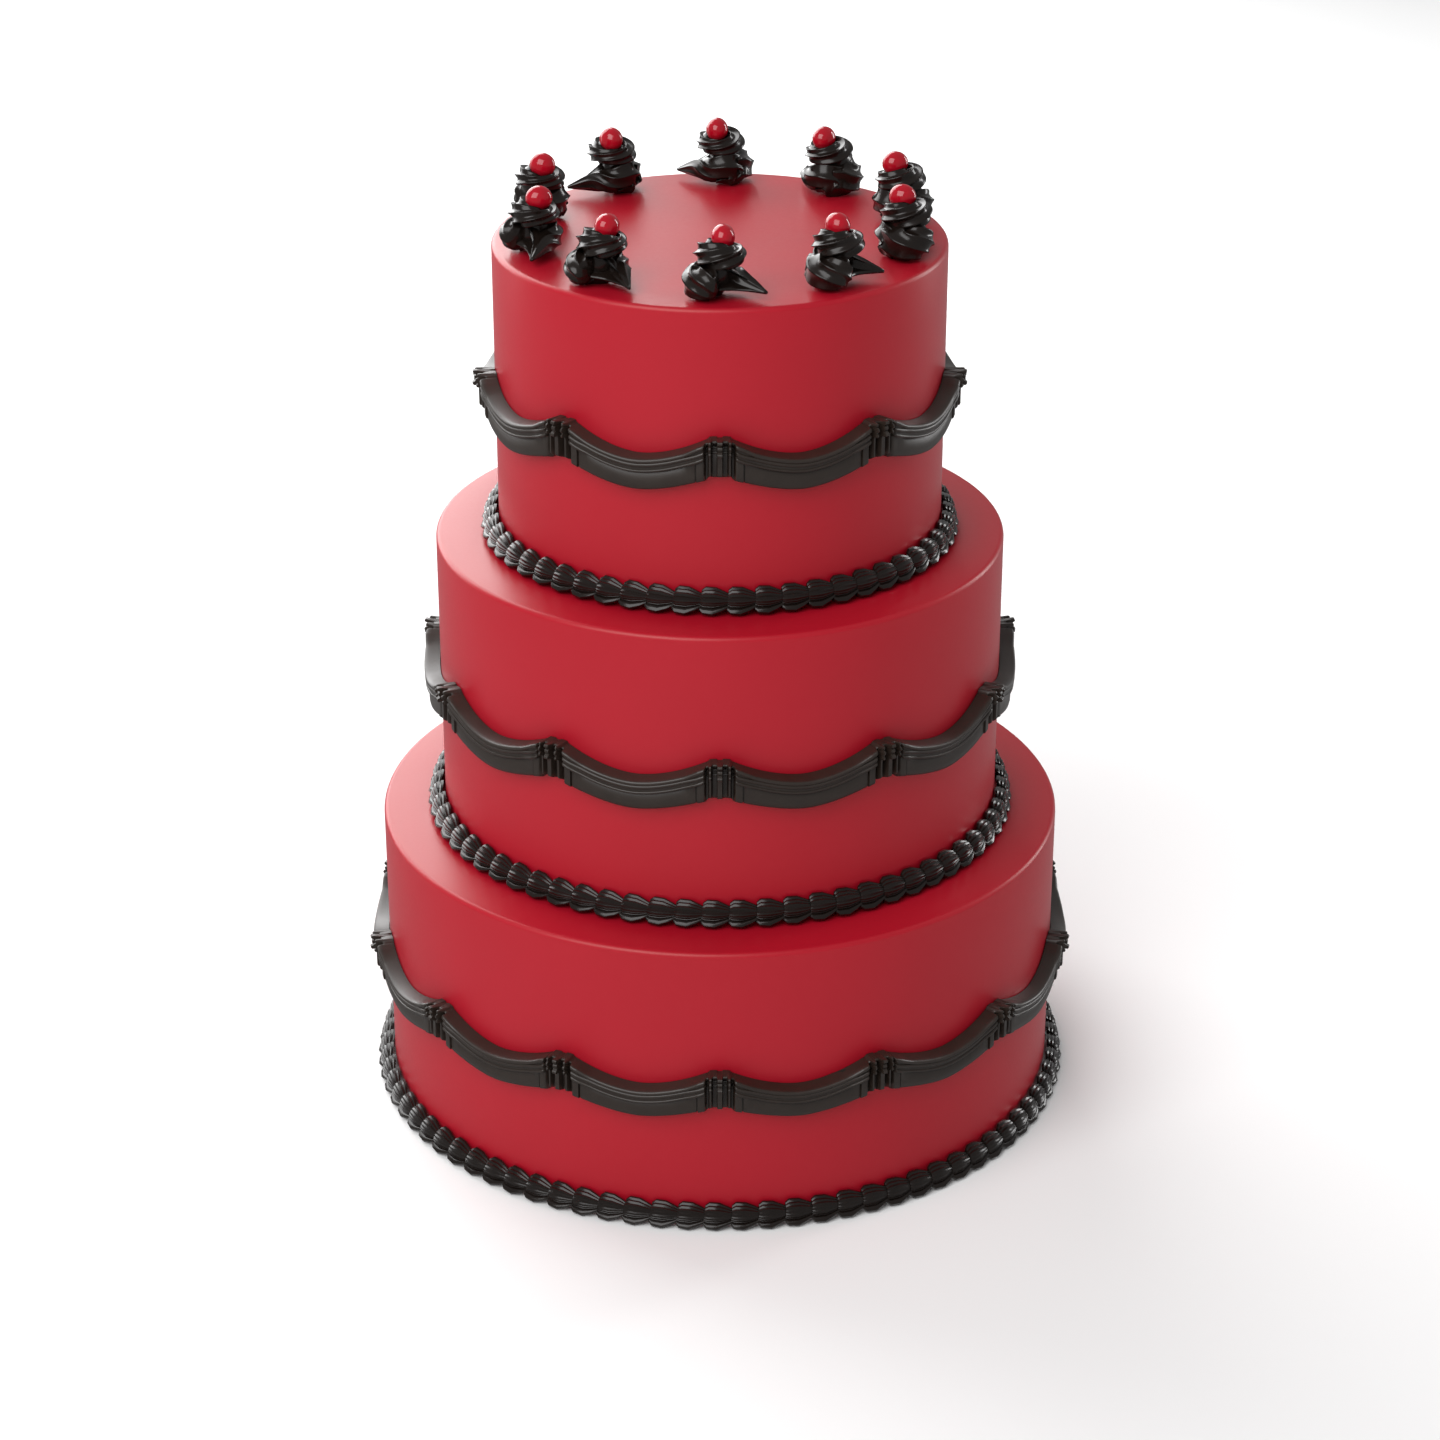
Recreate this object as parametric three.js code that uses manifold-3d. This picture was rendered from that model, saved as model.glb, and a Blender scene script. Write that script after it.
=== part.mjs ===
// Three-tier celebration cake in red fondant, trimmed with black icing.
//
// Each tier is one solid cylinder with a small rounded rim. Around its middle runs a ring of scalloped
// swag mouldings, each with a ribbed knot at its left end, and around its foot a piped border of
// shells. Ten piped rosettes stand near the rim of the top tier, and each holds a glossy red ball.
//
// Millimetres, +Z up. The origin is the middle of the cake's underside. Angles run counter-clockwise
// seen from above, from the front (-Y), and a turned profile is written as [radius, height].

import * as THREE from 'three';
import { mergeVertices } from 'three/addons/utils/BufferGeometryUtils.js';
import Module from 'manifold-3d';

const wasm = await Module();
wasm.setup();

// ---------------------------------------------------------------- driving dimensions

const GAP = 0.3; // clearance between pieces that touch
const RIM = 2; // rounding of each tier's top rim
const TIER_SEGMENTS = 48;

const TIERS = [
  { name: 'bottom', radius: 140.2, base: 0, top: 122 - GAP, swags: 14, shells: 84, shellTurn: -2.5 },
  { name: 'middle', radius: 114.5, base: 122, top: 243 - GAP, swags: 11, shells: 70, shellTurn: -3.4 },
  { name: 'top', radius: 89, base: 243, top: 363, swags: 9, shells: 56, shellTurn: -4.6 },
];

const SWAG = {
  height: 70.3, // top edge at a knot, above the tier's base
  sagTop: 7.2, // how far the top edge dips between two knots
  sagFoot: 5.7, // the same for its foot
  depth: 14, // height of the moulding at a knot
  nose: 6.8, // reach of the moulding from the tier's side
  noseHeight: 5.6,
  noseRound: { across: 0.4, down: 0.3, under: 0.6 },
  band: 5.2, // reach of the flat band under the nose
  freeStations: [1 / 3, 2 / 3], // along the hanging part
};

// A knot is a raised block with a groove on both sides, where the moulding flares out again.
const KNOT = {
  half: { block: 4.2, groove: 5, flare: 9 }, // half widths
  nose: { block: 9.2, groove: 6.6, flare: 7.4 }, // reaches
  band: { block: 6.6, groove: 4.6, flare: SWAG.band },
};

const SHELL = {
  head: { reach: 7.3, foot: 5.9, nose: 2.8, height: 10.6 },
  neck: { reach: 5, foot: 4.2, nose: 2.2, height: 7.2 },
  crest: 1.6, // distance of the upper edge from the tier's side
  headAt: 0.36, // where the head lies along the pitch
};

const ROSETTE = {
  count: 10,
  ring: 72.8, // radius of the circle they stand on
  turn: 0.9, // degrees
};

// The base coil runs once round the rosette, from its pointed tail to its end under the collar.
const COIL = {
  from: -26, // degrees, in the rosette's own frame
  sweep: 300,
  tail: { radius: 18.1, height: 3.6, share: 0.04 }, // share of the full thickness at the tip
  body: { radius: 8.2, height: 6.9, thickness: 7.4 },
  grown: { by: 0.42, power: 0.8 }, // by this share of its length the coil has its full thickness
  closing: { from: 0.75, by: 0.3 }, // its end draws in under the collar
  ridge: 0.2, // depth of the grooves, as a share of the thickness
  roll: 0.35, // radians, where the first ridge starts
  twist: -0.34, // turns of the star section along the coil
  lobes: 5,
  steps: 7,
};

const COLLAR = {
  radius: 4.9,
  height: 17,
  tilt: 1.3,
  tiltAt: -125, // degrees
  thickness: 4.8,
  ridge: 0.2,
  twist: 1, // lobes that the star section turns by in one round
  lobes: 4,
  steps: 9,
};

// A plain column joins the coil and the collar inside.
const CORE = { top: 4.5, foot: 7, sides: 6 };

// The balls are a little longer towards the cake's axis and upwards than along the rim.
const BALL = {
  radii: new THREE.Vector3(4.45, 5.2, 4.8),
  height: 22.4,
  seat: 1.34, // the hollow it sits in, as a share of its size
};

// ---------------------------------------------------------------- materials

const FONDANT = new THREE.MeshStandardMaterial({ color: 0xb02a34, roughness: 0.45, metalness: 0 });
const ICING = new THREE.MeshStandardMaterial({ color: 0x2a2623, roughness: 0.35, metalness: 0 });
const SUGAR_BALL = new THREE.MeshStandardMaterial({ color: 0xaf1228, roughness: 0.12, metalness: 0 });

// ---------------------------------------------------------------- helpers

const TURN = 2 * Math.PI;
const radians = THREE.MathUtils.degToRad;
const lerp = THREE.MathUtils.lerp;

// Point at an angle from the front, at a radius and a height.
function around(angle, radius, height) {
  return new THREE.Vector3(radius * Math.sin(angle), -radius * Math.cos(angle), height);
}

// Drops all but the positions, joins equal vertices and removes triangles that have closed up.
function clean(geometry) {
  const bare = geometry.index ? geometry.clone() : mergeVertices(geometry);
  bare.deleteAttribute('normal');
  bare.deleteAttribute('uv');
  const merged = mergeVertices(bare, 1e-3);
  const index = merged.index.array;
  const kept = [];
  for (let i = 0; i < index.length; i += 3) {
    const [a, b, c] = [index[i], index[i + 1], index[i + 2]];
    if (a !== b && b !== c && c !== a) kept.push(a, b, c);
  }
  merged.setIndex(kept);
  return merged;
}

// A closed bar: a cylinder's grid whose every ring of vertices is placed by section(step, share).
// The end caps are fans about the middle of the end sections.
function bar(sides, steps, section) {
  const grid = new THREE.CylinderGeometry(1, 1, steps, sides, steps);
  const position = grid.attributes.position;
  for (let i = 0; i < position.count; i += 1) {
    const x = position.getX(i);
    const z = position.getZ(i);
    const step = Math.round(steps / 2 - position.getY(i));
    if (Math.hypot(x, z) < 0.5) {
      const middle = new THREE.Vector3();
      for (let side = 0; side < sides; side += 1) middle.add(section(step, side));
      position.setXYZ(i, ...middle.divideScalar(sides).toArray());
    } else {
      const side = Math.round((Math.atan2(x, z) / TURN) * sides + sides) % sides;
      position.setXYZ(i, ...section(step, side).toArray());
    }
  }
  return clean(grid);
}

// A closed ring: a torus' grid placed in the same way.
function ring(sides, steps, section) {
  const grid = new THREE.TorusGeometry(2, 1, sides, steps);
  const position = grid.attributes.position;
  for (let side = 0; side <= sides; side += 1) {
    for (let step = 0; step <= steps; step += 1) {
      const place = section(step % steps, side % sides);
      position.setXYZ(side * (steps + 1) + step, ...place.toArray());
    }
  }
  return clean(grid);
}

function toManifold(geometry) {
  const vertProperties = new Float32Array(geometry.attributes.position.array);
  const triVerts = new Uint32Array(geometry.index.array);
  return new wasm.Manifold(new wasm.Mesh({ numProp: 3, vertProperties, triVerts }));
}

function toGeometry(manifold) {
  const mesh = manifold.getMesh();
  const geometry = new THREE.BufferGeometry();
  geometry.setAttribute('position', new THREE.BufferAttribute(mesh.vertProperties.slice(), 3));
  geometry.setIndex(Array.from(mesh.triVerts));
  return geometry;
}

const cake = new THREE.Group();

function add(name, geometry, material, parent = cake) {
  const mesh = new THREE.Mesh(geometry, material);
  mesh.name = name;
  parent.add(mesh);
  return mesh;
}

// A group turned about the cake's own axis, so that its contents face outwards at that angle.
function turned(degrees) {
  const group = new THREE.Group();
  group.rotation.z = radians(degrees);
  cake.add(group);
  return group;
}

// ---------------------------------------------------------------- tiers

function tierGeometry({ radius, base, top }) {
  const slope = RIM * (1 - Math.SQRT1_2);
  const profile = [
    [0, base],
    [radius, base],
    [radius, top - RIM],
    [radius - slope, top - slope],
    [radius - RIM, top],
    [0, top],
  ].map(([x, y]) => new THREE.Vector2(x, y));
  const lathe = new THREE.LatheGeometry(profile, TIER_SEGMENTS);
  lathe.rotateX(Math.PI / 2);
  return clean(lathe);
}

// ---------------------------------------------------------------- swags

// One length of moulding, from the groove left of its knot to the groove left of the next.
function swagGeometry({ radius, base, swags }) {
  const pitch = (TURN * radius) / swags;
  const hang = pitch - 2 * KNOT.half.block;
  const free = pitch - 2 * KNOT.half.flare;
  const knot = (at, part) => ({ at, nose: KNOT.nose[part], band: KNOT.band[part] });
  const stations = [
    knot(-KNOT.half.groove, 'groove'),
    knot(-KNOT.half.block, 'block'),
    knot(KNOT.half.block, 'block'),
    knot(KNOT.half.groove, 'groove'),
    knot(KNOT.half.flare, 'flare'),
    ...SWAG.freeStations.map((share) => (
      { at: KNOT.half.flare + share * free, nose: SWAG.nose, band: SWAG.band }
    )),
    knot(pitch - KNOT.half.flare, 'flare'),
    knot(pitch - KNOT.half.groove - GAP, 'groove'),
  ];

  const section = (step, side) => {
    const { at, nose, band } = stations[step];
    const share = THREE.MathUtils.clamp((at - KNOT.half.block) / hang, 0, 1);
    const dip = 4 * share * (1 - share);
    const top = base + SWAG.height - SWAG.sagTop * dip;
    const foot = base + SWAG.height - SWAG.depth - SWAG.sagFoot * dip;
    const underNose = top - SWAG.noseHeight;
    const outline = [
      [GAP, top],
      [GAP, foot],
      [band, foot],
      [band, underNose - SWAG.noseRound.under],
      [nose, underNose],
      [nose - SWAG.noseRound.across, top - SWAG.noseRound.down],
    ];
    const [reach, height] = outline[side];
    return around(at / radius, radius + reach, height);
  };
  return bar(6, stations.length - 1, section);
}

// ---------------------------------------------------------------- shell borders

function shellSection({ reach, foot, nose, height }) {
  return [
    [GAP, 0],
    [foot, 0],
    [reach, nose],
    [SHELL.crest, height],
  ];
}

// Piped shells overlap into one rope, so the border of a tier is a single solid ring.
function shellBorderGeometry({ radius, base, shells, shellTurn }) {
  const outlines = [shellSection(SHELL.neck), shellSection(SHELL.head)];
  const section = (step, side) => {
    const isHead = step % 2;
    const at = Math.floor(step / 2) + (isHead ? SHELL.headAt : 0);
    const [reach, height] = outlines[isHead][side];
    return around((at / shells) * TURN + radians(shellTurn), radius + reach, base + height);
  };
  return ring(4, 2 * shells, section);
}

// ---------------------------------------------------------------- rosettes and balls

// Star section of a piped rope: its radius goes in and out once for each lobe.
function star(side, thickness, ridge) {
  return thickness * (side % 2 ? 1 - ridge : 1);
}

// The rosette's own frame has +X along the rim, +Y towards the cake's axis and z 0 on the tier's top.
function coilGeometry() {
  const { tail, body, grown, closing } = COIL;
  const sides = 2 * COIL.lobes;
  const section = (step, side) => {
    const share = step / COIL.steps;
    const swell = Math.sin(Math.min(share / grown.by, 1) * (Math.PI / 2)) ** grown.power;
    const drawn = 1 - closing.by * Math.max(0, (share - closing.from) / (1 - closing.from));
    const angle = radians(COIL.from + COIL.sweep * share);
    const size = star(side, body.thickness * lerp(tail.share, 1, swell) * drawn, COIL.ridge);
    const roll = TURN * (side / sides + COIL.twist * share) + COIL.roll;
    const reach = lerp(tail.radius, body.radius, swell) * drawn + size * Math.cos(roll);
    const level = lerp(tail.height, body.height, swell) + size * Math.sin(roll);
    return new THREE.Vector3(reach * Math.cos(angle), reach * Math.sin(angle), Math.max(level, GAP));
  };
  return bar(sides, COIL.steps, section);
}

// The collar is pressed in where the ball sits.
function collarGeometry() {
  const ballCentre = new THREE.Vector3(0, 0, BALL.height);
  const sides = 2 * COLLAR.lobes;
  const section = (step, side) => {
    const angle = (step / COLLAR.steps) * TURN;
    const height = COLLAR.height + COLLAR.tilt * Math.cos(angle - radians(COLLAR.tiltAt));
    const size = star(side, COLLAR.thickness, COLLAR.ridge);
    const roll = TURN * (side / sides + (COLLAR.twist / COLLAR.lobes) * (step / COLLAR.steps));
    const reach = COLLAR.radius + size * Math.cos(roll);
    const place = new THREE.Vector3(reach * Math.cos(angle), reach * Math.sin(angle), height);
    place.z += size * Math.sin(roll);
    const fromBall = place.clone().sub(ballCentre);
    const share = fromBall.clone().divide(BALL.radii).length();
    if (share < BALL.seat) place.copy(ballCentre).addScaledVector(fromBall, BALL.seat / share);
    return place;
  };
  return ring(sides, COLLAR.steps, section);
}

function ballGeometry({ x, y, z }) {
  return clean(new THREE.IcosahedronGeometry(1, 1).scale(x, y, z));
}

function rosetteGeometry() {
  const core = new THREE.CylinderGeometry(CORE.top, CORE.foot, COLLAR.height - GAP, CORE.sides);
  core.rotateX(Math.PI / 2);
  core.translate(0, 0, (COLLAR.height + GAP) / 2);
  const joined = [collarGeometry(), clean(core)]
    .reduce((whole, piece) => whole.add(toManifold(piece)), toManifold(coilGeometry()));
  return toGeometry(joined);
}

// ---------------------------------------------------------------- assembly

for (const tier of TIERS) {
  add(`tier_${tier.name}`, tierGeometry(tier), FONDANT);
  add(`shell_border_${tier.name}`, shellBorderGeometry(tier), ICING);
  const swag = swagGeometry(tier);
  for (let i = 0; i < tier.swags; i += 1) {
    const number = String(i + 1).padStart(2, '0');
    add(`swag_${tier.name}_${number}`, swag, ICING, turned((360 / tier.swags) * i));
  }
}

const topFace = TIERS[2].top;
const rosette = rosetteGeometry();
const ball = ballGeometry(BALL.radii);
for (let i = 0; i < ROSETTE.count; i += 1) {
  const number = String(i + 1).padStart(2, '0');
  const place = turned(ROSETTE.turn + (360 / ROSETTE.count) * i);
  add(`rosette_${number}`, rosette, ICING, place).position.set(0, -ROSETTE.ring, topFace);
  add(`sugar_ball_${number}`, ball, SUGAR_BALL, place).position.set(0, -ROSETTE.ring, topFace + BALL.height);
}

export default cake;
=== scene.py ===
"""Three-tier celebration cake in red sugar paste, trimmed with black icing and red sugar balls.

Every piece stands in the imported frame: metres, +Z up, the origin in the middle of the cake's
underside, the front at -Y. Lengths below are in millimetres and angles in degrees
counter-clockwise from the front, unless a comment says otherwise.
"""

from math import cos, radians, sin, tau

import bmesh
import bpy
from mathutils import Matrix, Vector


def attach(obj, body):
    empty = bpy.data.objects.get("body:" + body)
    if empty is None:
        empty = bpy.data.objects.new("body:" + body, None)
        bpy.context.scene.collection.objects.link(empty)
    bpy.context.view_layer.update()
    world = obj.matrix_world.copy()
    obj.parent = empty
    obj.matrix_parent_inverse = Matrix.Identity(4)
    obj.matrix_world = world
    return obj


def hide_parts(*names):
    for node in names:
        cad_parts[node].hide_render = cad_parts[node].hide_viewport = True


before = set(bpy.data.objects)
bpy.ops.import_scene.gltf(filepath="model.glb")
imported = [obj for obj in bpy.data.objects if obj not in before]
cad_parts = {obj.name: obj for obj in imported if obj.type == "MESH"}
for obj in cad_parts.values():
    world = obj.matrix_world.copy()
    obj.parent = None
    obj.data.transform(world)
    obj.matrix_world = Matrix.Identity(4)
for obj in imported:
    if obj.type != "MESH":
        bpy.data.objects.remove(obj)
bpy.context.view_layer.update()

MM = 0.001

# ------------------------------------------------------------------ sizes, as in the part's source

GAP = 0.3  # between the icing and the paste

# Each tier's radius and heights, how many swags and shells go round it, the angle of its first
# shell, how far a swag's top edge sags between two knots, and how slim the swag is there.
TIERS = {
    "bottom": {
        "radius": 140.2,
        "base": 0,
        "top": 121.7,
        "swags": 14,
        "shells": 84,
        "first_shell": -2.5,
        "sag": 6.9,
        "slim": 12.4,
    },
    "middle": {
        "radius": 114.5,
        "base": 122,
        "top": 242.7,
        "swags": 11,
        "shells": 70,
        "first_shell": -3.4,
        "sag": 7.6,
        "slim": 12.7,
    },
    "top": {
        "radius": 89,
        "base": 243,
        "top": 363,
        "swags": 9,
        "shells": 56,
        "first_shell": -4.6,
        "sag": 7.5,
        "slim": 13.05,
    },
}
RIM = 2.0  # rounding of a tier's top rim
SWAG_TOP = 70.25  # a swag's top edge at its knot, above the tier's base
SWAG_DEPTH = 14.7  # from the top edge to the foot, beside the knot
ROSETTES, ROSETTE_RING, FIRST_ROSETTE = 10, 72.8, 0.9  # how many, their ring's radius, first angle
BALL_HEIGHT = 22.4  # of a ball's middle above the top tier
BALL_RADII = Vector((4.45, 5.2, 4.8))  # along the ring, towards the axis and up


# ------------------------------------------------------------------ helpers


def clamp(value, low=0.0, high=1.0):
    return min(max(value, low), high)


def lerp(a, b, share):
    return a + (b - a) * share


def ease(value, start, end):
    """0 before start and 1 after end, with a smooth step between them."""
    t = clamp((value - start) / (end - start))
    return t * t * (3 - 2 * t)


def around(angle, radius, height):
    """A point at an angle in radians from the front, at a radius and a height."""
    return Vector((radius * sin(angle), -radius * cos(angle), height))


def spline(points, share):
    """A point on the smooth curve through a row of stations."""
    place = clamp(share, 0, 0.9999) * (len(points) - 1)
    i, t = int(place), place % 1
    first = Vector(points[0]) * 2 - Vector(points[1])
    last = Vector(points[-1]) * 2 - Vector(points[-2])
    a, b, c, d = [first, *map(Vector, points), last][i : i + 4]
    square, cube = 2 * a - 5 * b + 4 * c - d, 3 * b - a - 3 * c + d
    return (2 * b + (c - a) * t + square * t**2 + cube * t**3) / 2


def sheet(columns, rows, place, into=None):
    """A grid bent so that the point at shares u across and v up lands on place(u, v), in mm."""
    bm = into or bmesh.new()
    grid = bmesh.ops.create_grid(bm, x_segments=columns, y_segments=rows, size=0.5)["verts"]
    for vert in grid:
        vert.co = place(vert.co.x + 0.5, vert.co.y + 0.5) * MM
    return bm


def welded(bm, distance=0.002):
    """Closes the seams of a bent grid, and turns its faces outwards."""
    bmesh.ops.remove_doubles(bm, verts=bm.verts, dist=distance * MM)
    bmesh.ops.dissolve_degenerate(bm, edges=bm.edges, dist=0.0005 * MM)
    bmesh.ops.recalc_face_normals(bm, faces=bm.faces)
    return bm


def capped(bm):
    """Fills the openings of a mesh and welds it."""
    bmesh.ops.holes_fill(bm, edges=[e for e in bm.edges if e.is_boundary])
    return welded(bm)


def finished(name, bm, material, node, sharp=None):
    """Makes the mesh a piece of the cake that stands for a node of the frame. Edges sharper than
    the given angle keep a crease."""
    mesh = bpy.data.meshes.new(name)
    bm.to_mesh(mesh)
    mesh.shade_smooth()
    if sharp:
        mesh.set_sharp_from_angle(angle=radians(sharp))
    mesh.materials.append(material)
    piece = bpy.data.objects.new(name, mesh)
    bpy.context.collection.objects.link(piece)
    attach(piece, "root")
    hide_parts(node)


def turned(bm, degrees, lift=Vector()):
    """A copy of a mesh, moved by lift and then turned about the cake's axis."""
    copy = bm.copy()
    turn = Matrix.Rotation(radians(degrees), 3, "Z")
    bmesh.ops.translate(copy, verts=copy.verts, vec=lift * MM)
    bmesh.ops.rotate(copy, verts=copy.verts, cent=Vector(), matrix=turn)
    return copy


# ------------------------------------------------------------------ materials


def colour(code):
    """A colour given as sRGB hex, in linear light."""
    channels = [int(code[i : i + 2], 16) / 255 for i in (1, 3, 5)]
    return [c / 12.92 if c <= 0.04045 else ((c + 0.055) / 1.055) ** 2.4 for c in channels] + [1.0]


def new_material(name):
    material = bpy.data.materials.new(name)
    material.use_nodes = True
    return material, material.node_tree.nodes["Principled BSDF"]


def add(material, kind, inputs=None, **settings):
    """Adds a node with its settings, and its inputs as values or as sockets to link."""
    tree = material.node_tree
    node = tree.nodes.new(kind)
    for key, value in settings.items():
        setattr(node, key, value)
    for key, value in (inputs or {}).items():
        if isinstance(value, bpy.types.NodeSocket):
            tree.links.new(value, node.inputs[key])
        else:
            node.inputs[key].default_value = value
    return node


def link(material, source, target):
    material.node_tree.links.new(source, target)


def noise(material, grain, detail):
    """A soft pattern with spots about as large as the grain, in mm."""
    place = add(material, "ShaderNodeTexCoord").outputs["Object"]
    settings = {"Vector": place, "Scale": 1 / (grain * MM), "Detail": detail}
    return add(material, "ShaderNodeTexNoise", settings).outputs["Fac"]


def vary_colour(material, shader, pattern, dark, light):
    """Lets the colour drift between two tones with a pattern."""
    tones = {"Factor": pattern, "A": colour(dark), "B": colour(light)}
    tone = add(material, "ShaderNodeMix", tones, data_type="RGBA")
    link(material, tone.outputs["Result"], shader.inputs["Base Color"])


def vary_gloss(material, shader, pattern, low, high):
    """Lets the roughness drift between two values with a pattern."""
    ends = {"Value": pattern, "To Min": low, "To Max": high}
    gloss = add(material, "ShaderNodeMapRange", ends)
    link(material, gloss.outputs["Result"], shader.inputs["Roughness"])


def relief(material, pattern, strength, height, under=None):
    """A shallow relief of a height in mm, on top of the one under it."""
    settings = {"Height": pattern, "Strength": strength, "Distance": height * MM}
    if under:
        settings["Normal"] = under
    return add(material, "ShaderNodeBump", settings).outputs["Normal"]


def sugar_paste():
    """Red sugar paste, rolled and smoothed: a dense, saturated red under a soft satin sheen, with
    the faint waviness of a hand smoother and a fine matt bloom."""
    material, shader = new_material("rolled sugar paste")
    waves, bloom = noise(material, 55, 1.0), noise(material, 1.2, 2.0)
    vary_colour(material, shader, waves, "#a50e21", "#aa1125")
    vary_gloss(material, shader, bloom, 0.33, 0.40)
    soft = relief(material, waves, 0.25, 0.8)
    fine = relief(material, bloom, 0.08, 0.1, under=soft)
    link(material, fine, shader.inputs["Normal"])
    shader.inputs["IOR"].default_value = 1.43
    shader.inputs["Specular Tint"].default_value = colour("#fff2e8")
    return material


def black_icing(name, dark, light, low, high, ior):
    """Black royal icing: a warm charcoal under a satin gloss, which breaks up a little where the
    icing has dried unevenly. Low and high are the ends of its roughness."""
    material, shader = new_material(name)
    drying, grain = noise(material, 6, 3.0), noise(material, 0.7, 1.0)
    vary_colour(material, shader, drying, dark, light)
    vary_gloss(material, shader, drying, low, high)
    link(material, relief(material, grain, 0.06, 0.08), shader.inputs["Normal"])
    shader.inputs["IOR"].default_value = ior
    return material


def sugar_shell():
    """A polished sugar ball: deep red under a hard clear glaze with crisp highlights."""
    material, shader = new_material("polished sugar shell")
    mottle = noise(material, 3, 2.0)
    vary_colour(material, shader, mottle, "#a0081c", "#aa0c21")
    link(material, relief(material, mottle, 0.05, 0.1), shader.inputs["Normal"])
    shader.inputs["Roughness"].default_value = 0.5
    shader.inputs["Specular IOR Level"].default_value = 0.0  # the glaze alone reflects
    shader.inputs["Coat Weight"].default_value = 0.9
    shader.inputs["Coat Roughness"].default_value = 0.02
    return material


PASTE, BALL_GLAZE = sugar_paste(), sugar_shell()
# Piped icing looks wet, and moulded icing is dulled by its mould. Both are the same black icing:
# the piped one gets a darker base as painted shade on the shells and rosettes, and the moulded one
# a lighter base as painted light on the lit faces of the mouldings.
PIPED = black_icing("black royal icing, piped", "#130e0b", "#1b1411", 0.16, 0.26, 1.38)
MOULDED = black_icing("black royal icing, moulded", "#241c17", "#2c231d", 0.34, 0.44, 1.5)


# ------------------------------------------------------------------ tiers

LONG_EDGE = 20  # edges of the profile longer than this are divided


def tier(radius, base, top):
    """A drum turned from its profile, with the soft edge of the paste where it folds over the
    rim."""
    bm = bmesh.new()
    corners = [(0, base), (radius, base), (radius, top), (0, top)]
    verts = [bm.verts.new((r * MM, 0, z * MM)) for r, z in corners]
    for pair in zip(verts, verts[1:]):
        bm.edges.new(pair)
    bmesh.ops.bevel(
        bm,
        geom=[verts[2]],
        offset=RIM * MM,
        offset_type="OFFSET",
        segments=6,
        profile=0.5,
        affect="VERTICES",
        material=-1,
    )
    long_edges = [e for e in bm.edges if e.calc_length() > LONG_EDGE * MM]
    bmesh.ops.subdivide_edges(bm, edges=long_edges, cuts=5)
    bmesh.ops.spin(
        bm,
        geom=bm.edges[:],
        cent=(0, 0, 0),
        axis=(0, 0, 1),
        steps=180,
        angle=tau,
        use_merge=True,
    )
    return welded(bm)


for name, size in TIERS.items():
    drum = tier(size["radius"], size["base"], size["top"])
    finished(f"paste_drum_{name}", drum, PASTE, f"tier_{name}", sharp=50)


# ------------------------------------------------------------------ swag mouldings

BAND_REACH = 5.2  # how far the plain band along a swag's foot stands out from the wall

# Cross-sections met along a moulding, from the middle of its knot outwards. Each gives how far the
# ledge is raised at the wall, the drop, radius and reach of its three reeds, the reach of the
# undercut below them and of the band, and how much lower the foot ends.
KNOT_RIB = (0.0, (-0.35, 0.75, 9.15), (1.9, 0.95, 8.75), (4.3, 0.8, 9.35), 7.2, 6.9, 0.0)
SIDE_RIB = (0.35, (0.1, 0.7, 8.0), (2.0, 0.9, 8.7), (4.3, 0.7, 8.4), 6.5, 6.3, 0.0)
INNER_GROOVE = (0.45, (0.3, 0.6, 5.4), (2.8, 0.5, 3.8), (4.8, 0.5, 4.0), 3.6, 3.8, 1.1)
OUTER_GROOVE = (-0.1, (0.7, 0.6, 4.8), (2.8, 0.5, 3.4), (4.8, 0.5, 3.9), 3.5, 3.6, 1.0)
FLARE = (0.0, (0.75, 0.95, 7.5), (3.25, 0.85, 7.35), (5.5, 0.75, 7.3), 5.7, 5.8, 0.0)
REEDED = (0.0, (1.55, 0.95, 6.8), (3.0, 0.85, 6.75), (5.4, 0.55, 6.5), 4.9, BAND_REACH, 0.0)
SECTIONS = [
    (0.0, KNOT_RIB),
    (0.8, KNOT_RIB),
    (1.2, INNER_GROOVE),
    (2.75, INNER_GROOVE),
    (3.1, SIDE_RIB),
    (3.9, SIDE_RIB),
    (4.3, OUTER_GROOVE),
    (5.2, OUTER_GROOVE),
    (5.65, FLARE),
    (8.2, FLARE),
    (13.0, REEDED),
    (99.0, REEDED),
]
# A line is scored between the plain strip by the knot and the band.
STRIP_END, BAND_START, SCORE_REACH = 8.3, 8.8, 4.7
LEDGE_CURVE = [(0.4, 0.3), (0.8, 0.75)]  # shares of the way out and up to the first reed
REED_TURNS = (85, 50, 15, -20, -55, -85)  # where a reed's round has its corners, above level
UNDERCUT_TOP, UNDERCUT_FOOT, BAND_TOP = 0.1, 0.5, 0.8  # below the lowest reed
BAND_ROW = 0.8  # where the band has its last row of faces, as a share of the depth
FOOT_ROUND = 0.45

KNOT_EDGE = 3.6  # from here on out the knot steps down to the strips beside it
TOP_STEP, TOP_STEP_END = 0.35, 5.4  # how much higher its top edge is, and where that ends
FOOT_STEP, FOOT_STEP_END = 1.15, 5.6  # the same of its foot
HANG_START = 4.2  # from here on out the swag hangs
SAG_POWER, SLIM_POWER = 1.75, 2.4
PIECE_EDGE = 5.0  # from the knot's middle to the end of its piece
PIECE_GAP = 0.02  # between that end and the next piece
HANG_STEPS = 26


def blended(low, high, share):
    if isinstance(low, tuple):
        return tuple(blended(a, b, share) for a, b in zip(low, high))
    return lerp(low, high, share)


def section_at(side):
    """The cross-section at a distance in mm to either side of the knot's middle."""
    for (start, low), (end, high) in zip(SECTIONS, SECTIONS[1:]):
        if side <= end:
            return blended(low, high, clamp((side - start) / (end - start)))


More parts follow.
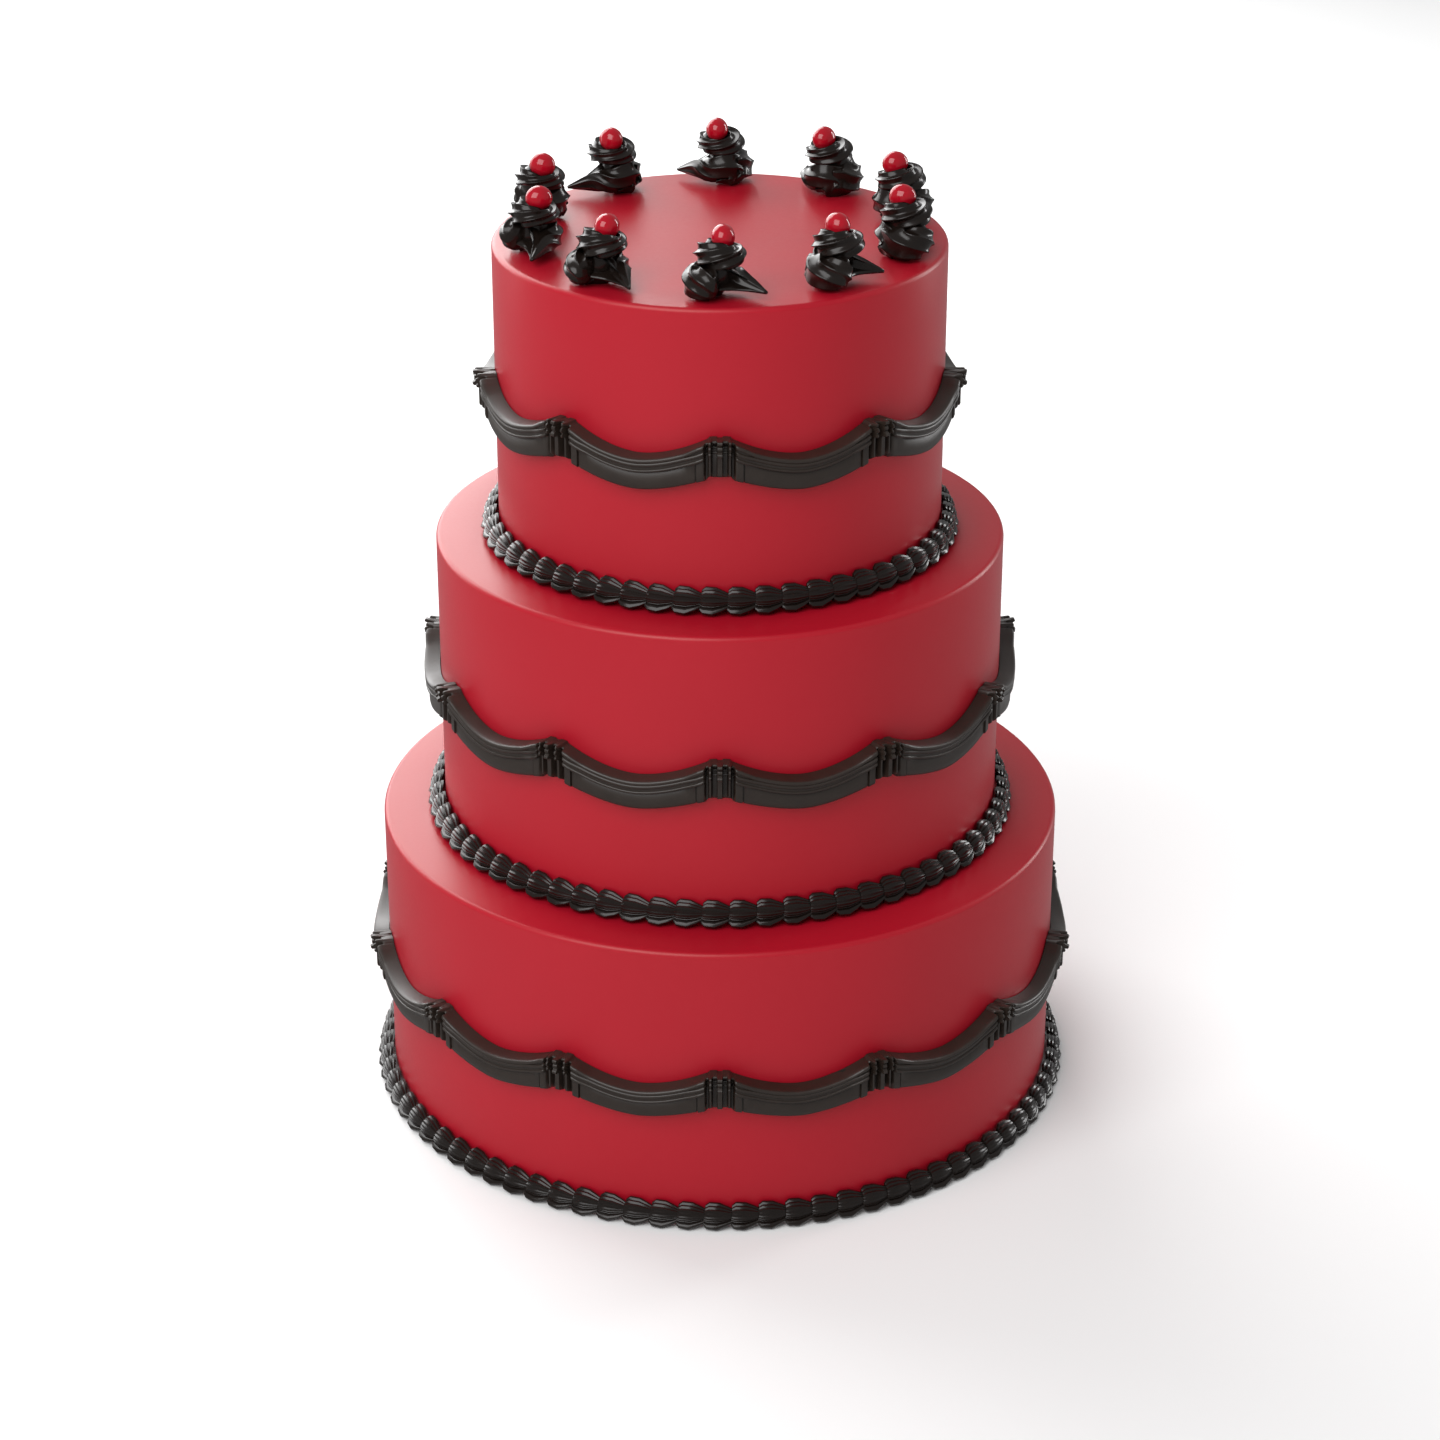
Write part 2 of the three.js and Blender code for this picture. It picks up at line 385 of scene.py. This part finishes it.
def moulding_outline(side, depth):
    """The outline from the wall's top edge over the ledge, reeds, undercut and band, to the
    foot."""
    rise, *reeds, undercut, band, longer = section_at(side)
    depth += longer
    if side > STRIP_END:
        band = SCORE_REACH if side < BAND_START else BAND_REACH
    (drop, radius, reach), lowest = reeds[0], reeds[2]
    seat, ledge = reach - radius, radius - drop
    points = [(0, rise)] + [(seat * out, lerp(rise, ledge, up)) for out, up in LEDGE_CURVE]
    for drop, radius, reach in reeds:
        for tilt in map(radians, REED_TURNS):
            points.append((reach - radius + radius * cos(tilt), radius * sin(tilt) - drop))
    shelf = lowest[0] + lowest[1]
    points += [(undercut, -shelf - UNDERCUT_TOP), (undercut, -shelf - UNDERCUT_FOOT)]
    points += [(band, -shelf - BAND_TOP), (band, -depth * BAND_ROW)]
    points += [(band, FOOT_ROUND - depth), (band - FOOT_ROUND, -depth), (0, -depth)]
    return points


def swag_stations(pitch):
    """Where the cross-sections stand, in mm from the knot's middle to the next knot: close
    together over the knot and beside it, and even along the hanging middle."""
    knot = [-PIECE_EDGE, -4.6] + [-4.4 + 0.2 * i for i in range(45)]
    flare = [4.6, PIECE_EDGE, 5.3, 5.6, 5.9, 6.6, 7.4, 8.0, 8.25, 8.35, 8.75, 8.85, 9.2]
    hang = [lerp(9.6, pitch - 9.6, i / HANG_STEPS) for i in range(HANG_STEPS + 1)]
    next_flare = [pitch - s for s in reversed(flare[2:])]
    return knot + flare + hang + next_flare + [pitch - PIECE_EDGE - PIECE_GAP]


def swag(size):
    """One moulding, from its knot to the edge of the next one's."""
    pitch = tau * size["radius"] / size["swags"]
    stations = swag_stations(pitch)
    rows = len(moulding_outline(0, SWAG_DEPTH)) - 1

    def place(u, v):
        s = stations[round(u * (len(stations) - 1))]
        side = min(abs(s), pitch - s)
        hang = 1 - clamp((side - HANG_START) / (pitch / 2 - HANG_START))
        top = size["base"] + SWAG_TOP - size["sag"] * (1 - hang**SAG_POWER)
        top -= TOP_STEP * ease(side, KNOT_EDGE, TOP_STEP_END)
        depth = lerp(size["slim"], SWAG_DEPTH, hang**SLIM_POWER)
        depth -= FOOT_STEP * (1 - ease(side, KNOT_EDGE, FOOT_STEP_END))
        reach, height = moulding_outline(side, depth)[round(v * rows)]
        return around(s / size["radius"], size["radius"] + max(reach, GAP), top + height)

    return capped(sheet(len(stations) - 1, rows, place))


for name, size in TIERS.items():
    moulding = swag(size)
    for i in range(size["swags"]):
        label = f"{name}_{i + 1:02d}"
        part = turned(moulding, i * 360 / size["swags"])
        finished(f"moulding_{label}", part, MOULDED, f"swag_{label}", sharp=50)


# ------------------------------------------------------------------ shell borders

# Rings of vertices along a shell from its curled head to its tail: the share of the pitch, the
# share of the full size at its foot and at its top, and the lift of the ring.
SHELL_RINGS = [
    (-0.04, 0.0, 0.0, 0.2),
    (0.0, 0.68, 0.76, 0.1),
    (0.13, 0.9, 0.98, 0.0),
    (0.5, 1.0, 0.95, 0.0),
    (0.84, 0.74, 0.68, 0.1),
    (1.06, 0.5, 0.45, 0.3),
]
# The outline of a ring as Y and Z, from under the shell round its fat lowest ridge. Seven fine
# ridges follow up to the wall, where the real icing has a dozen finer ones.
LOWEST_RIDGE = [(-1.5, 0.4), (-4.6, 0.0), (-6.7, 0.6), (-7.4, 1.6), (-7.05, 2.45), (-6.45, 2.95)]
RIDGED_SLOPE = [(-5.95, 3.1), (-6.15, 5.4), (-4.4, 8.6), (-0.7, 10.3)]
FINE_RIDGES, RIDGE_DEPTH = 7, 0.4
RIDGES_FACE = Vector((-0.6, 0.8))  # the way the fine ridges stand out
SHELL_MIDDLE = Vector((-2.9, 5.1))  # the point that a ring's sizes shrink towards
SHELL_LEAN = 0.12  # how far the shell leans towards its tail for each mm up
SHELL_FOOT = 0.05  # lowest height of a shell above the surface it stands on
SHELL_OUT = 4  # the shells are spaced evenly on a ring this far outside the paste


def shell_outline():
    points = [Vector(spot) for spot in LOWEST_RIDGE]
    for step in range(2 * FINE_RIDGES + 1):
        spot = spline(RIDGED_SLOPE, step / (2 * FINE_RIDGES))
        points.append(spot + RIDGES_FACE * RIDGE_DEPTH * (step % 2))
    return points


def shell(pitch):
    """One piped shell: a fat head with fanned ridges that draws out to a narrow tail on its right.
    X runs along the border, Y points in to the tier's side, and Z is up."""
    outline = shell_outline()

    def place(u, v):
        share, low, high, lift = SHELL_RINGS[round(u * (len(SHELL_RINGS) - 1))]
        spot = outline[round(v * len(outline)) % len(outline)]
        full = lerp(low, high, clamp(spot.y / 2 / SHELL_MIDDLE.y))
        out, up = SHELL_MIDDLE.lerp(spot, full)
        along = share * pitch + SHELL_LEAN * (up - SHELL_MIDDLE.y)
        return Vector((along, out, max(up + lift, SHELL_FOOT)))

    return capped(welded(sheet(len(SHELL_RINGS) - 1, len(outline), place), distance=0.05))


for name, size in TIERS.items():
    single = shell(tau * (size["radius"] + SHELL_OUT) / size["shells"])
    rope = bmesh.new()
    for i in range(size["shells"]):
        scratch = bpy.data.meshes.new("shell")
        lift = Vector((0, -size["radius"], size["base"]))
        turned(single, size["first_shell"] + i * 360 / size["shells"], lift).to_mesh(scratch)
        rope.from_mesh(scratch)
        bpy.data.meshes.remove(scratch)
    node = f"shell_border_{name}"
    finished(f"shell_rope_{name}", rope, PIPED, node, sharp=30)


# ------------------------------------------------------------------ rosettes and sugar balls

# Stations along the coil of a rosette from its pointed tail: the middle of the rope, its thickness
# and the roll of its star in radians. X is along the ring, Y towards the cake's axis.
COIL = [
    (16.09, -8.15, 3.51, 0.62, 0.47),
    (7.85, -1.68, 5.83, 3.86, 0.43),
    (1.93, 3.18, 6.73, 5.31, -0.47),
    (-2.85, 3.27, 8.64, 6.72, -0.82),
    (-4.44, 0.93, 6.77, 8.24, -1.11),
    (-7.0, -1.01, 6.94, 7.76, -1.22),
    (-8.61, -4.01, 6.35, 6.99, -1.55),
    (-5.82, -7.84, 7.53, 6.55, -2.4),
    (-1.42, -8.76, 7.52, 5.16, -3.5),
]
COIL_LOBES, COIL_GROOVE = 7, 0.18
COIL_STEP = 0.01  # the share of the coil over which its direction is taken
END_START, END_LENGTH = 0.94, 0.06  # shares of the coil where it rounds off to its end
CREST_POWER = 0.8

# The collar. Its ring's radius, height, thickness and roll have a mean, a cosine and a sine part.
COLLAR_X, COLLAR_Y = 0.88, -0.54  # its middle
COLLAR_RING = Vector((5.68, -1.36, -0.6))
COLLAR_HEIGHT = Vector((16.61, 0.05, -0.26))
COLLAR_THICKNESS = Vector((4.32, -0.93, -0.74))
COLLAR_ROLL = Vector((0.13, 0.14, -0.11))
COLLAR_LOBES, COLLAR_GROOVE = 7, 0.33
COLLAR_TWIST = 4  # how many lobes its star turns by in one round
BALL_SEAT = 1.03  # the hollow in the collar, as a share of the ball's size

# The web of icing dragged from under the collar to the tail: its upper edge and its foot.
WEB_TOP = [
    (-3.5, -4.5, 12.5),
    (1.5, -4.8, 12),
    (4.4, -4, 10.5),
    (8.2, -4.5, 8.1),
    (12.3, -6, 5.7),
    (16.1, -8.15, 3.6),
]
WEB_FOOT = [
    (-1.5, -8.8, 4.5),
    (1.5, -7.6, 4.2),
    (4.4, -6.8, 3.9),
    (8.2, -7, 3.7),
    (12.3, -7.6, 3.6),
    (16.1, -8.15, 3.4),
]
WEB_HOLLOW = Vector((0, 3.2, 0))  # how deep its front is hollowed
WEB_LIP = [(0, 0.3, 1), (0, 0, 0), (0, 1.2, 0.1), (0, 4, 1.2)]  # round the foot to the back
WEB_BACK = Vector((0, 3, -0.5))  # from its upper edge to the back
WEB_TAPER = 0.3  # the share of it that thins to the tail

NECK_WIDE, NECK_NARROW, NECK_FOOT, NECK_TOP = 6.5, 4.6, 5, 17
NECK_X, NECK_Y = 2.5, 0.5  # how far its middle lies back along X and Y


def rope_star(turn, lobes, groove):
    """Radius of a star nozzle's rope at an angle: sharp crests, with hollows between them."""
    return 1 - groove * abs(sin(lobes * turn / 2)) ** CREST_POWER


def coil():
    """The first turn of the rosette, from its pointed tail round to its end under the collar."""

    def place(u, v):
        x, y, z, thick, roll = spline(COIL, u)
        ahead = spline(COIL, min(u + COIL_STEP, 1))
        behind = spline(COIL, max(u - COIL_STEP, 0))
        along = (Vector(ahead[:3]) - Vector(behind[:3])).normalized()
        outward = Vector((along.y, -along.x, 0)).normalized()
        upward = outward.cross(along)
        closing = (1 - clamp((u - END_START) / END_LENGTH) ** 2) ** 0.5
        reach = max(thick, 0.1) * closing * rope_star(tau * v, COIL_LOBES, COIL_GROOVE)
        turn = tau * v + roll
        spot = Vector((x, y, z)) + reach * (cos(turn) * outward + sin(turn) * upward)
        spot.z = max(spot.z, GAP)
        return spot

    return sheet(60, 84, place)


def collar(into):
    """The second turn, a closed ring of rope whose crests climb round the ball."""

    def place(u, v):
        angle = tau * u
        swing = Vector((1, cos(angle), sin(angle)))
        size = swing.dot(COLLAR_THICKNESS) * rope_star(tau * v, COLLAR_LOBES, COLLAR_GROOVE)
        turn = tau * v + swing.dot(COLLAR_ROLL) + angle * COLLAR_TWIST / COLLAR_LOBES
        reach = swing.dot(COLLAR_RING) + size * cos(turn)
        height = swing.dot(COLLAR_HEIGHT) + size * sin(turn)
        x, y = COLLAR_X + reach * cos(angle), COLLAR_Y + reach * sin(angle)
        middle = Vector((0, 0, BALL_HEIGHT))
        gap = Vector((x, y, height)) - middle
        share = Vector(g / radius for g, radius in zip(gap, BALL_RADII)).length
        return middle + gap * max(1, BALL_SEAT / share)

    return sheet(72, 84, place, into)


def web(into):
    """The thin wall of icing between the collar and the tail, hollow in front."""

    def place(u, v):
        top, foot = spline(WEB_TOP, u), spline(WEB_FOOT, u)
        thick = clamp((1 - u) / WEB_TAPER)
        ring = [top, top.lerp(foot, 0.5) + WEB_HOLLOW * thick]
        ring += [foot + Vector(offset) * thick for offset in WEB_LIP]
        ring += [top + WEB_BACK * thick, top]
        return spline(ring, v)

    return sheet(40, 42, place, into)


def neck(into):
    """The icing in the middle of the rosette, which shows only as a shadow under the collar."""

    def place(u, v):
        reach = lerp(NECK_WIDE, NECK_NARROW, v)
        x, y = reach * cos(tau * u) - NECK_X, reach * sin(tau * u) - NECK_Y
        return Vector((x, y, lerp(NECK_FOOT, NECK_TOP, v)))

    return sheet(24, 2, place, into)


swirl = coil()
for build in (collar, web, neck):
    build(swirl)
capped(welded(swirl))
pearl = bmesh.new()
bmesh.ops.create_icosphere(pearl, subdivisions=4, radius=1)
bmesh.ops.scale(pearl, verts=pearl.verts, vec=BALL_RADII * MM)

for i in range(ROSETTES):
    label = f"{i + 1:02d}"
    angle = FIRST_ROSETTE + i * 360 / ROSETTES
    stand = Vector((0, -ROSETTE_RING, TIERS["top"]["top"]))
    piped = turned(swirl, angle, stand)
    finished(f"piped_rosette_{label}", piped, PIPED, f"rosette_{label}")
    ball = turned(pearl, angle, stand + Vector((0, 0, BALL_HEIGHT)))
    node = f"sugar_ball_{label}"
    finished(f"sugar_pearl_{label}", ball, BALL_GLAZE, node)


# ------------------------------------------------------------------ floor, light and camera, in m

FLOOR_HALF = 6
LIGHT_AIM = (0, 0, 0.22)
# The place, the width and height, and the power in watts of each softbox.
SOFTBOXES = {
    "key_softbox": ((-0.79, -1.31, 1.53), (1.6, 1.6), 36.5),
    "back_softbox": ((-0.98, 1.60, 1.10), (2.0, 1.9), 57),
    "left_strip": ((-1.72, 0.92, 0.45), (0.4, 1.2), 2.5),
    "side_strip": ((1.68, 1.05, 0.60), (0.3, 1.3), 13),
}
WORLD_LIGHT = 0.35
CAMERA_PLACE = (0.000045, -1.285864, 0.762486)
CAMERA_DIP = 25.296  # degrees below level
LENS_MM, SENSOR_MM = 85.618, 36


def floor():
    """A pale studio sweep, matt so that only a soft shadow shows on it."""
    bm = bmesh.new()
    bmesh.ops.create_grid(bm, x_segments=4, y_segments=4, size=FLOOR_HALF)
    mesh = bpy.data.meshes.new("studio_floor")
    bm.to_mesh(mesh)
    material, shader = new_material("matt white studio paper")
    shader.inputs["Base Color"].default_value = colour("#f4f4f4")
    shader.inputs["Roughness"].default_value = 1.0
    shader.inputs["Specular IOR Level"].default_value = 0.0
    mesh.materials.append(material)
    ground = bpy.data.objects.new("studio_floor", mesh)
    ground.visible_glossy = False
    bpy.context.collection.objects.link(ground)


def softbox(name, place, size, power):
    light = bpy.data.lights.new(name, "AREA")
    light.shape = "RECTANGLE"
    light.size, light.size_y = size
    light.energy = power
    lamp = bpy.data.objects.new(name, light)
    lamp.location = place
    facing = Vector(LIGHT_AIM) - Vector(place)
    lamp.rotation_euler = facing.to_track_quat("-Z", "Y").to_euler()
    bpy.context.collection.objects.link(lamp)


floor()
for name, (place, size, power) in SOFTBOXES.items():
    softbox(name, place, size, power)

scene = bpy.context.scene
world = bpy.data.worlds.new("studio")
world.use_nodes = True
background = world.node_tree.nodes["Background"]
background.inputs["Color"].default_value = (1, 1, 1, 1)
background.inputs["Strength"].default_value = WORLD_LIGHT
scene.world = world
scene.view_settings.view_transform = "Standard"

lens = bpy.data.cameras.new("camera")
lens.lens, lens.sensor_width = LENS_MM, SENSOR_MM
lens.clip_end = 20
camera = bpy.data.objects.new("camera", lens)
camera.location = CAMERA_PLACE
camera.rotation_euler = (radians(90 - CAMERA_DIP), 0, 0)
bpy.context.collection.objects.link(camera)
scene.camera = camera
